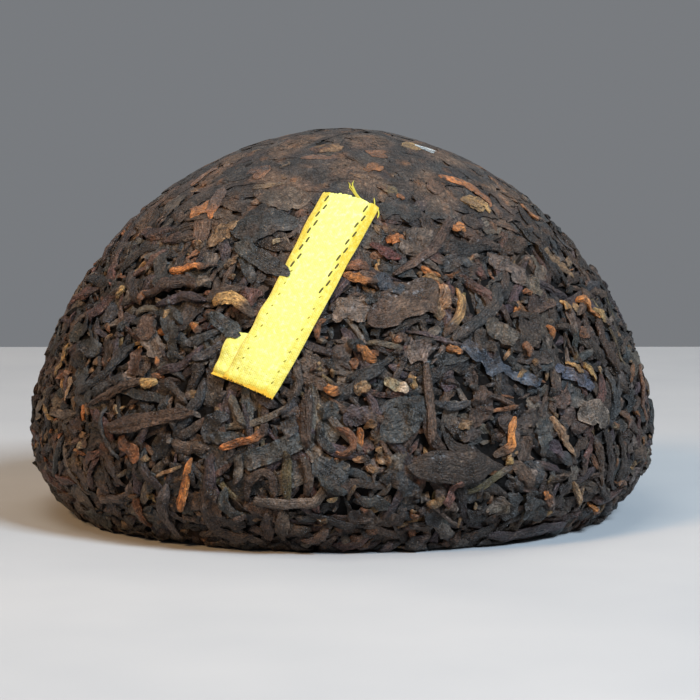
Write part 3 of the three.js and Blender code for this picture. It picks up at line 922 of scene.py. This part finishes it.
def ribbon_places(u, v, corners):
    """Spots of the outline under a ribbon: u runs from its left edge to its right, v from top to bottom."""
    tl, tr, bl, br = np.array(numbers_in(corners.split()))
    tl, tr, ml, mr, bl, br = seen_at([tl, tr, (tl + bl) / 2, (tr + br) / 2, bl, br], RIBBON_RISE)
    v = v - TOP_BOW * (1 - (2 * u - 1) ** 2) * (v < 1 / BOW_FADE) * (1 - BOW_FADE * v)
    u, v = u[..., None], v[..., None]
    top, middle, bottom = ((1 - u) * left + u * right for left, right in ((tl, tr), (ml, mr), (bl, br)))
    return locate((1 - v) * (1 - 2 * v) * top + 4 * v * (1 - v) * middle + v * (2 * v - 1) * bottom)


def even_grid(across, along):
    """u and v in even steps over a ribbon."""
    return np.meshgrid(np.linspace(0, 1, across), np.linspace(0, 1, along))


def box_filter(grid, pick, passes):
    """A grid after passes in which pick, such as np.max, takes each value from it and its neighbours."""
    for _ in range(passes):
        padded = np.pad(grid, 1, mode="edge")
        rows, columns = grid.shape
        grid = pick([padded[i : i + rows, j : j + columns] for i in range(3) for j in range(3)], axis=0)
    return grid


class Ribbon:
    """A ribbon's shape over the pressed heap. It bridges the leaves below it."""

    def __init__(self, corners, lowered=0.0):
        self.corners = corners
        self.lowered = lowered
        s, theta = ribbon_places(*even_grid(UNDER_ACROSS, UNDER_ALONG), corners)
        below = pressed(relief[map_cells(s, theta)], s)
        highest = box_filter(below, np.max, OVER_LEAVES)
        self.under = box_filter(highest, np.mean, EVENED) + RIBBON_CLEARANCE
        left = surface(*ribbon_places(np.zeros(40), np.linspace(0, 1, 40), corners))[0]
        across = surface(*ribbon_places(np.array([0.0, 1.0]), np.array([0.5, 0.5]), corners))[0]
        self.length = float(travelled(left)[-1])
        self.width = float(travelled(across)[-1])

    def underside(self, u, v):
        """Height of its underside above the core."""
        rows, columns = self.under.shape
        return bilinear(self.under, v * (rows - 1), u * (columns - 1))

    def point(self, u, v, rise):
        """The point at rise above its underside."""
        s, theta = ribbon_places(u, v, self.corners)
        place, normal = surface(s, theta)
        ripple = 0.07 * np.sin(9 * v + 2.2 * u) + 0.05 * np.sin(17 * v - 3 * u + 1)
        curled = END_CURL * smoothstep(v, CURL_FROM, 1.0)
        height = self.underside(u, v) + ripple + curled - core_depth(s) - self.lowered
        return place + normal * (height + rise)[..., None]

    def build(self, batch, chart_start=0.0):
        """A closed skin: over the top, round the right edge, back underneath, and across both ends."""
        fine = np.linspace(0, 1, RIBBON_ACROSS)
        u, v = np.meshgrid(np.concatenate([fine, fine[::-1], fine[:1]]), np.linspace(0, 1, RIBBON_ALONG))
        is_top = np.repeat([1.0, 0.0, 1.0], [RIBBON_ACROSS, RIBBON_ACROSS, 1])
        edge = np.minimum(u, 1 - u) * self.width
        rounded = np.sqrt(np.clip(edge / EDGE_RADIUS, 0.06, 1))
        teeth = TOOTH * np.sign(np.sin(2 * np.pi * u * self.width / TOOTH_WIDTH))
        uneven = END_SPREAD * rng.normal(size=u.shape) * ((v == 0) | (v == 1))
        frayed = v + teeth * (v == 1) + uneven
        rise = RIBBON_THICKNESS * (0.5 + (is_top - 0.5) * rounded)
        points = self.point(u, frayed, rise)
        chart = np.stack([u * self.width, v * self.length + chart_start], -1)
        batch.add_grid(points, chart)
        for end, order in ((0, -1), (-1, 1)):  # the order of the two rows turns the faces outward
            over, below = points[end, :RIBBON_ACROSS], points[end, RIBBON_ACROSS:-1][::-1]
            batch.add_grid(np.stack([over, below][::order]), np.stack([chart[end, :RIBBON_ACROSS]] * 2))

    def raise_map(self):
        u, v = even_grid(MAP_ACROSS, MAP_ALONG)
        s, theta = ribbon_places(u, v, self.corners)
        raise_relief(s, theta, unpressed(self.underside(u, v) + RIBBON_THICKNESS + RIBBON_ROOM, s))


def add_thread(batch, points, radius, tone, around=6):
    """A round thread through points, in millimetres, thin at its ends."""
    points = spline(points, 5 * len(points))
    ahead = unit(np.gradient(points, axis=0))
    out = surface(*locate(points))[1]
    side = unit(np.cross(ahead, out))
    out = np.cross(side, ahead)
    angle = 2 * np.pi * np.arange(around)[None, :, None] / around
    t = np.linspace(-1, 1, len(points))
    size = radius * np.clip(1.15 - np.abs(t) ** 4, 0.25, 1)
    circle = side[:, None] * np.cos(angle) + out[:, None] * np.sin(angle)
    tips = np.stack([points[0] - ahead[0] * radius * 0.5, points[-1] + ahead[-1] * radius * 0.5])
    tints = np.broadcast_to([*linear(tone), 1.0], (len(points), around, 4))
    batch.add_tube(points[:, None] + size[:, None, None] * circle, tips, tints)


# A stitch shows as a slanted dash on the upper half and as a small dot below it. aside is how far it lies off
# its row, in turn.
DASH = dict(length=(1.0, 1.3), gap=(0.15, 0.35), aside=(-0.35, 0.05), radius=0.15, tone=(70, 62, 8))
DOT = dict(length=(0.25, 0.6), gap=(1.2, 2.0), aside=(0.0, 0.0), radius=0.1, tone=(140, 130, 36))
STITCH_RISE = RIBBON_THICKNESS + np.array([-0.09, 0.02, 0.02, -0.09])
LEFT_INSET, RIGHT_INSET = 1.4, 1.3
LEFT_DASHES_TO, RIGHT_DASHES_TO = 0.36, 0.45  # as a share of the ribbon's length
STITCHES_FROM, STITCHES_TO = 0.012, 0.985
STITCH_SLANT = 0.01  # as a share of the ribbon's width, to both sides


def add_stitches(ribbon, batch):
    """A row of stitches inside each edge."""
    left_row = (LEFT_INSET / ribbon.width, LEFT_DASHES_TO)
    right_row = (1 - RIGHT_INSET / ribbon.width, RIGHT_DASHES_TO)
    for row, dashes_to in (left_row, right_row):
        v, count = STITCHES_FROM, 0
        while v < STITCHES_TO:
            stitch = DASH if v < dashes_to else DOT
            size = rng.uniform(*stitch["length"]) / ribbon.length
            gap = rng.uniform(*stitch["gap"]) / ribbon.length
            u = row + stitch["aside"][count % 2] / ribbon.width + STITCH_SLANT * np.linspace(1, -1, 4)
            points = ribbon.point(u, np.linspace(v, v + size, 4), STITCH_RISE)
            add_thread(batch, points, stitch["radius"], stitch["tone"])
            v += size + gap
            count += 1


FRAYED_TONE = (166, 160, 58)
FRAYED_THREADS = dict(  # radius in millimetres, and the way in pixels of the photograph
    long="0.13 370,205 363,200 357.5,193.5 354,187.5 352,181",
    beside_it="0.1 369,204 361,199 355.5,192 352,186 348.5,180.5",
    crossing="0.08 367,203 359,197.5 354.5,190.5 352.5,184 354,178.5",
    hooked="0.07 364,201 357,195 352.5,189 349.5,185 350.5,181.5",
    short="0.1 375,207 375,201 374.3,195.5",
    corner="0.12 378,207 379,212 378,215",
)


def add_frays(batch):
    for entry in FRAYED_THREADS.values():
        radius, *places = entry.split()
        radius = float(radius)
        place, normal = surface(*locate(seen_at(spline(numbers_in(places), 8))))
        s, theta = locate(place)
        height = smoothed(pressed(relief[map_cells(s, theta)], s), 3) - core_depth(s)
        add_thread(batch, place + normal * (height + radius * 0.9)[:, None], radius, FRAYED_TONE, 8)


# ---- The core ----

CORE_ROWS, CORE_COLUMNS = 90, 160
CORE_LUMPS = 0.25
CORE_RAISED = 0.1
CORE_FLOOR = 0.3  # how far it stays above the ground
CORE_SHADE_ON_TOP, CORE_SHADE_WHERE_LOOSE = 0.5, 0.25  # painted shade: how bright it is against the skin colour on the top, and against ink where the leaf is loose


def build_core(batch):
    """The skin under the leaves, lumpy with crumbs, painted dark as the shade deep in the gaps between them.
    """
    theta = np.linspace(-np.pi, np.pi, CORE_COLUMNS)
    theta[-1] = theta[0]
    s, theta = np.meshgrid(np.linspace(0, S_END, CORE_ROWS), theta, indexing="ij")
    place, normal = surface(s, theta)
    x, y, z = place[..., 0], place[..., 1], place[..., 2]
    lumps = np.sin(1.9 * x + 0.6 * z) * np.sin(2.1 * y + 1) * np.sin(1.7 * z + 2) * CORE_LUMPS
    points = place - normal * (core_depth(s) - CORE_RAISED - lumps)[..., None]
    points[..., 2] = np.maximum(points[..., 2], CORE_FLOOR)
    for end in (0, -1):
        points[end] = points[end].mean(0)
    loose = looseness(s)[..., None]
    # Painted shade: the core is darkened so that the gaps between the leaves look deep.
    colours = skin_colour(points) * (1 - loose) * CORE_SHADE_ON_TOP + linear(TONES["ink"]) * CORE_SHADE_WHERE_LOOSE * loose
    batch.add_grid(points, np.stack([theta * 30, s], -1), np.concatenate([colours, loose], -1))


# ---- Materials ----


class Value:
    """What a node gives out. The signs + - * and abs() put Math nodes behind it."""

    def __init__(self, shader, socket):
        self.shader = shader
        self.socket = socket

    def math(self, operation, other=0.0, clamp=False):
        return self.shader.math(operation, self, other, clamp)

    def __add__(self, other):
        return self.math("ADD", other)

    def __sub__(self, other):
        return self.math("SUBTRACT", other)

    def __rsub__(self, other):
        return self.shader.math("SUBTRACT", other, self)

    def __mul__(self, other):
        return self.math("MULTIPLY", other)

    def __abs__(self):
        return self.math("ABSOLUTE")

    def ramp(self, low, high, to_low, to_high):
        ends = {"From Min": low, "From Max": high, "To Min": to_low, "To Max": to_high}
        return self.shader.add("MapRange", {"Value": self, **ends})

    def scaled(self, factor):
        """This colour times a number."""
        return self.shader.add("VectorMath", {0: self, "Scale": factor}, operation="SCALE")


def srgb(red, green, blue):
    return (*linear((red, green, blue)), 1)


class Shader:
    """A material's node tree, with short calls to add and link nodes. The scales of grain are per metre, and
    those over the chart per millimetre."""

    def __init__(self, name):
        self.material = bpy.data.materials.new(name)
        self.material.use_nodes = True
        self.tree = self.material.node_tree
        self.surface = self.tree.nodes["Principled BSDF"]

    def node(self, kind, inputs=None, **settings):
        node = self.tree.nodes.new("ShaderNode" + kind)
        for key, value in settings.items():
            setattr(node, key, value)
        for key, value in (inputs or {}).items():
            self.feed(node.inputs[key], value)
        return node

    def add(self, kind, inputs=None, output=0, **settings):
        return Value(self, self.node(kind, inputs, **settings).outputs[output])

    def feed(self, socket, value):
        if isinstance(value, Value):
            self.tree.links.new(value.socket, socket)
        else:
            socket.default_value = value

    def math(self, operation, a, b, clamp=False):
        return self.add("Math", {0: a, 1: b}, operation=operation, use_clamp=clamp)

    @functools.cached_property
    def chart(self):
        return self.add("UVMap", uv_map="chart")

    @functools.cached_property
    def position(self):
        return self.add("TexCoord", output="Object")

    def tint(self):
        """The colour of the tint, and how loose the leaf lies."""
        outputs = self.node("Attribute", attribute_name="tint").outputs
        return Value(self, outputs["Color"]), Value(self, outputs["Alpha"])

    def noise(self, vector, scale, detail=4.0, roughness=0.6):
        inputs = {"Vector": vector, "Scale": scale, "Detail": detail, "Roughness": roughness}
        return self.add("TexNoise", inputs, "Fac")

    def grain(self, scale, detail=4.0, roughness=0.6):
        return self.noise(self.position, scale, detail, roughness)

    def stripes(self, along, around, detail, roughness=0.6):
        """Noise that is stretched over the chart."""
        stretched = self.add("Mapping", {"Vector": self.chart, "Scale": (along, around, 1)})
        return self.noise(stretched, 1.0, detail, roughness)

    def mixed(self, factor, a, b):
        return self.add("Mix", {"Factor": factor, "A": a, "B": b}, "Result", data_type="RGBA")

    def bump(self, *heights):
        """Adds bumps one on the other: height, distance in millimetres, and strength."""
        above = {}
        for height, distance, strength in heights:
            inputs = {"Height": height, "Strength": strength, "Distance": distance * MM}
            above = {"Normal": self.add("Bump", {**inputs, **above})}
        self.feed(self.surface.inputs["Normal"], above["Normal"])

    def finish(self, colour, roughness, **constants):
        self.feed(self.surface.inputs["Base Color"], colour)
        self.feed(self.surface.inputs["Roughness"], roughness)
        for key, value in constants.items():
            self.surface.inputs[key.replace("_", " ")].default_value = value
        return self.material


MIDDLE = (0.34, 0.66)  # the band that a noise hardly leaves
PRESSED = (0.0, LOOSE_SKIN)  # the looseness over which a leaf gets its own looks


def leaf_material(name, furrow, fibre, roughness, depth, sheen=0.04, mixed_with=(60, 47, 38)):
    """Dry leaf: furrows along it, with painted shade in thin creases between them and their ridges lighter,
    partly pale fibre and partly painted highlight; fibres, mottled colour, dust and small glossy spots.
    furrow and fibre are how many furrows and fibres there are to a millimetre across it. The pressed leaf of
    the top has less of its own furrows, and thin cracks darkened with painted shade."""
    shader = Shader(name)
    tint, loose = shader.tint()
    furrows = shader.stripes(0.3, furrow, 3.0)
    fibres = shader.stripes(0.6, fibre, 2.0)
    folds = shader.grain(520.0, 5.0, 0.62)
    mottle = shader.grain(300.0, 4.0, 0.7)
    crumbs = shader.grain(1500.0, 4.0, 0.65)
    grit = shader.grain(3400.0, 2.0)

    from_crease = abs(furrows - 0.52)
    shade = fibres.ramp(*MIDDLE, 0.6, 1.4) * mottle.ramp(*MIDDLE, 0.6, 1.4)
    shade = shade * crumbs.ramp(*MIDDLE, 0.65, 1.4)
    # Painted shade in the thin creases, and a lighter colour on the furrows' ridges: partly pale fibre,
    # partly painted highlight.
    shade = shade * from_crease.ramp(0.0, 0.03, 0.42, 1.0) * furrows.ramp(0.58, 0.72, 1.0, 1.5)
    shade = shade * loose.ramp(*PRESSED, 0.7, 1.0)
    # Thin dark cracks on the pressed top: painted shade in them.
    cracked = shader.grain(230.0, 2.0).ramp(0.46, 0.5, 1.0, 0.0) - loose
    crack = abs(shader.grain(170.0, 3.0) - 0.5).ramp(0.006, 0.02, 0.8, 0.0).math("MULTIPLY", cracked, True)
    shade = shade * (1.0 - crack)
    other = shader.grain(420.0, 3.0).ramp(0.5, 0.62, 0.0, 0.5)
    colour = shader.mixed(other, tint, srgb(*mixed_with)).scaled(shade)
    specks = grit.ramp(0.58, 0.68, 0.0, 1.0) * mottle.ramp(0.5, 0.62, 0.0, 0.5)
    colour = shader.mixed(specks, colour, srgb(150, 132, 112))

    own = loose.ramp(*PRESSED, 0.35, 1.0)
    shader.bump(
        (folds, 1.6, own),
        (from_crease, depth * 2.2, own),
        (fibres, 0.4, own),
        (crumbs, 0.5, 0.9),
        (grit, 0.22, 1.0),
    )
    rough = mottle.ramp(0.35, 0.65, roughness - 0.16, roughness + 0.22) + loose.ramp(*PRESSED, 0.2, 0.0)
    coat = crumbs.ramp(0.52, 0.64, 0.0, 0.1) * loose.ramp(*PRESSED, 0.0, 1.0)
    shader.feed(shader.surface.inputs["Coat Weight"], coat)
    return shader.finish(
        colour, rough, Sheen_Weight=sheen, Sheen_Roughness=0.4, Specular_IOR_Level=0.35, Coat_Roughness=0.25
    )


def core_material():
    shader = Shader("leaf_dust_in_painted_shade")
    crumbs = shader.grain(900.0, 5.0, 0.65)
    grains = shader.add("TexVoronoi", {"Vector": shader.position, "Scale": 700.0}, "Distance")
    shader.bump((crumbs, 0.5, 1.0), (grains, 0.4, 1.0))
    # Its dark tint is painted shade, deep in the gaps between the leaves.
    colour = shader.tint()[0].scaled(crumbs.ramp(0.3, 0.7, 0.5, 1.6))
    return shader.finish(colour, 0.9, Specular_IOR_Level=0.1)


PALE, STRAW, GLINT = srgb(201, 205, 112), srgb(192, 188, 62), srgb(226, 226, 168)
YELLOW, ORANGE, SPECK = srgb(171, 149, 9), srgb(196, 150, 20), srgb(168, 150, 44)
THREAD_PITCH = 0.36
WARP_SHARE = 0.8  # how close its threads lie against those of the weft


def ribbon_material(width, length):
    """Plain weave, pale in the middle, deeper yellow beside the edges and orange at the cut lower end."""
    shader = Shader("woven_ribbon")
    split = shader.node("SeparateXYZ", {"Vector": shader.chart})
    x, y = (Value(shader, split.outputs[axis]) for axis in "XY")
    from_edge = x.math("MINIMUM", (width - x) * 0.75)
    waver = shader.stripes(0.6, 0.25, 3.0)
    slubs = shader.stripes(1.6, 1.1, 5.0, 0.7)
    colour = shader.mixed(slubs.ramp(0.36, 0.64, 0.0, 1.0) * 0.5, PALE, STRAW)
    colour = shader.mixed(slubs.ramp(0.36, 0.48, 0.4, 0.0), colour, GLINT)
    margin = (from_edge + waver.ramp(0.3, 0.7, -0.25, 0.25)).ramp(0.75, 1.35, 1.0, 0.0)
    margin = margin * y.ramp(0.2 * length, 0.62 * length, 1.0, 0.45) * slubs.ramp(0.36, 0.6, 0.65, 1.0)
    colour = shader.mixed(margin, colour, YELLOW)
    band = (length - y) + waver.ramp(0.3, 0.7, -0.5, 0.5)
    colour = shader.mixed(band.ramp(0.4, 1.6, 0.9, 0.0), colour, YELLOW)
    colour = shader.mixed(band.ramp(0.1, 0.6, 0.8, 0.0), colour, ORANGE)
    colour = shader.mixed(from_edge.ramp(0.05, 0.3, 0.2, 0.0), colour, ORANGE)
    threads = 2 * math.pi / THREAD_PITCH
    weave = (y * threads).math("SINE") * (x * (threads * WARP_SHARE)).math("SINE")
    specks = shader.noise(shader.chart, 2.6, 3.0)
    # Darker where the weave dips and lighter on its crowns: painted shade and painted highlight.
    colour = colour.scaled(weave.ramp(-1, 1, 0.95, 1.03))
    colour = shader.mixed(specks.ramp(0.66, 0.76, 0.0, 0.35), colour, SPECK)
    shader.bump((weave, 0.02, 1.0), (slubs, 0.3, 1.0))
    return shader.finish(colour, 0.82, Sheen_Weight=0.15, Sheen_Roughness=0.5)


def thread_material():
    shader = Shader("thread")
    twist = shader.stripes(4, 2, 2.0)
    shader.bump((twist, 0.06, 1.0))
    return shader.finish(shader.tint()[0].scaled(twist.ramp(0.3, 0.7, 0.8, 1.15)), 0.8)


# ---- Building ----

lay_random(FIRST_LEAVES, 0.0, S_RIM + 1.0, tries=9, stations=9, around=8)
lay_crumbs(CRUMB_COUNT // 4, 0.0, S_RIM)
avoid_gaps()
lay_random(LAST_LEAVES, 0.0, S_RIM + 1.0, tries=4, stations=12, around=12)
lay_random(LEAVES_IN_HOLLOW, S_RIM, S_END - 2, tries=6, stations=10, around=9)
lay_crumbs(CRUMB_COUNT // 5, S_SPLIT, S_END)
lay_seen(SEEN_LEAVES, lift=0.15)
lay_crumbs(CRUMB_COUNT // 2, CRUMBS_FROM, S_RIM)

ribbon_batch, stitch_batch, fray_batch, core_batch = Batch(), Batch(), Batch(), Batch()
ribbon = Ribbon(RIBBON_CORNERS)
ribbon.build(ribbon_batch)
tab = Ribbon(TAB_CORNERS, TAB_LOWERED)
tab.build(ribbon_batch, chart_start=ribbon.length - tab.length)
add_stitches(ribbon, stitch_batch)
add_frays(fray_batch)
ribbon.raise_map()
tab.raise_map()
lay_seen(OVER_RIBBON, lift=0.05)
build_core(core_batch)

ROLLED = leaf_material("rolled_leaf", furrow=1.3, fibre=3.4, roughness=0.4, depth=0.9)
FLAT = leaf_material("flat_leaf", furrow=0.6, fibre=3.0, roughness=0.38, depth=0.5)
STEM = leaf_material("leaf_stem", furrow=1.8, fibre=4.0, roughness=0.42, depth=0.5)
TIP = leaf_material("downy_tip", 1.3, 3.6, roughness=0.5, depth=0.8, sheen=0.12, mixed_with=(84, 58, 38))
THREAD = thread_material()
MATERIALS = {"slate_leaves": FLAT, "brown_leaves": FLAT, "stems": STEM, "golden_tips": TIP}

leaf_pieces = [batch.piece(name, MATERIALS.get(name, ROLLED)) for name, batch in batches.items()]
core = core_batch.piece("leaf_core", core_material())
ribbon_piece = ribbon_batch.piece("woven_ribbon", ribbon_material(ribbon.width, ribbon.length))
stitches = stitch_batch.piece("ribbon_stitches", THREAD)
frays = fray_batch.piece("ribbon_threads", THREAD)

for piece in [core, *leaf_pieces]:
    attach(piece, "root")
for piece in (ribbon_piece, stitches, frays):
    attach(piece, "root")
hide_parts("tea_nest")
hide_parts("ribbon")

# ---- The floor, the light and the camera ----

FLOOR_SIZE = 4.0  # these are metres, as all of this section
FLOOR_BEHIND = 0.27  # how far the floor goes on behind the nest
FLOOR_DARK, FLOOR_LIGHT = (0.3, 0.31, 0.32, 1), (0.34, 0.345, 0.35, 1)
LIT_PLACE = (0.0, 0.0, 0.03)
LIGHTS = {
    "sky": dict(place=(-0.15, -0.25, 0.75), side=0.4, power=2.8, colour=(1.0, 0.92, 0.8)),
    "back": dict(place=(0.15, 0.3, 0.6), side=0.15, power=0.3, colour=(1.0, 0.94, 0.88)),
    "front_left": dict(place=(-0.55, -0.65, 0.65), side=0.22, power=8.6, colour=(1.0, 0.6, 0.28)),
    "front_right": dict(place=(0.52, -0.62, 0.72), side=0.26, power=20.8, colour=(0.7, 0.85, 1.0)),
}
SKY_COLOUR, SKY_STRENGTH = (0.86, 0.9, 0.96, 1), 0.22


def build_floor():
    bpy.ops.mesh.primitive_plane_add(size=1, location=(0, FLOOR_BEHIND - FLOOR_SIZE / 2, 0))
    floor = bpy.context.object
    floor.name = "floor"
    floor.scale = (FLOOR_SIZE, FLOOR_SIZE, 1)
    shader = Shader("pale_floor")
    grain = shader.grain(60.0, 3.0).ramp(0.3, 0.7, 0.0, 1.0)
    floor.data.materials.append(shader.finish(shader.mixed(grain, FLOOR_DARK, FLOOR_LIGHT), 0.9))


def turn_along(thing, direction):
    """Turns a light or the camera to look along a unit vector."""
    x, y, z = direction
    thing.rotation_euler = (math.acos(-z), 0.0, math.atan2(y, x) - math.pi / 2)


def build_lights():
    for name, light in LIGHTS.items():
        data = bpy.data.lights.new(name, "AREA")
        data.shape = "RECTANGLE"
        data.size = data.size_y = light["side"]
        data.energy = light["power"]
        data.color = light["colour"]
        turn_along(add_object(name, data, light["place"]), unit(np.subtract(LIT_PLACE, light["place"])))
    world = bpy.data.worlds.new("studio")
    world.use_nodes = True
    background = world.node_tree.nodes["Background"]
    background.inputs["Color"].default_value = SKY_COLOUR
    background.inputs["Strength"].default_value = SKY_STRENGTH
    bpy.context.scene.world = world


def build_camera():
    data = bpy.data.cameras.new("camera")
    data.lens, data.sensor_width = LENS, SENSOR
    data.clip_start, data.clip_end = 0.01, 20.0
    camera = add_object("camera", data, CAMERA_PLACE * MM)
    turn_along(camera, FORWARD)
    bpy.context.scene.camera = camera


build_floor()
build_lights()
build_camera()
bpy.context.scene.view_settings.view_transform = "Standard"
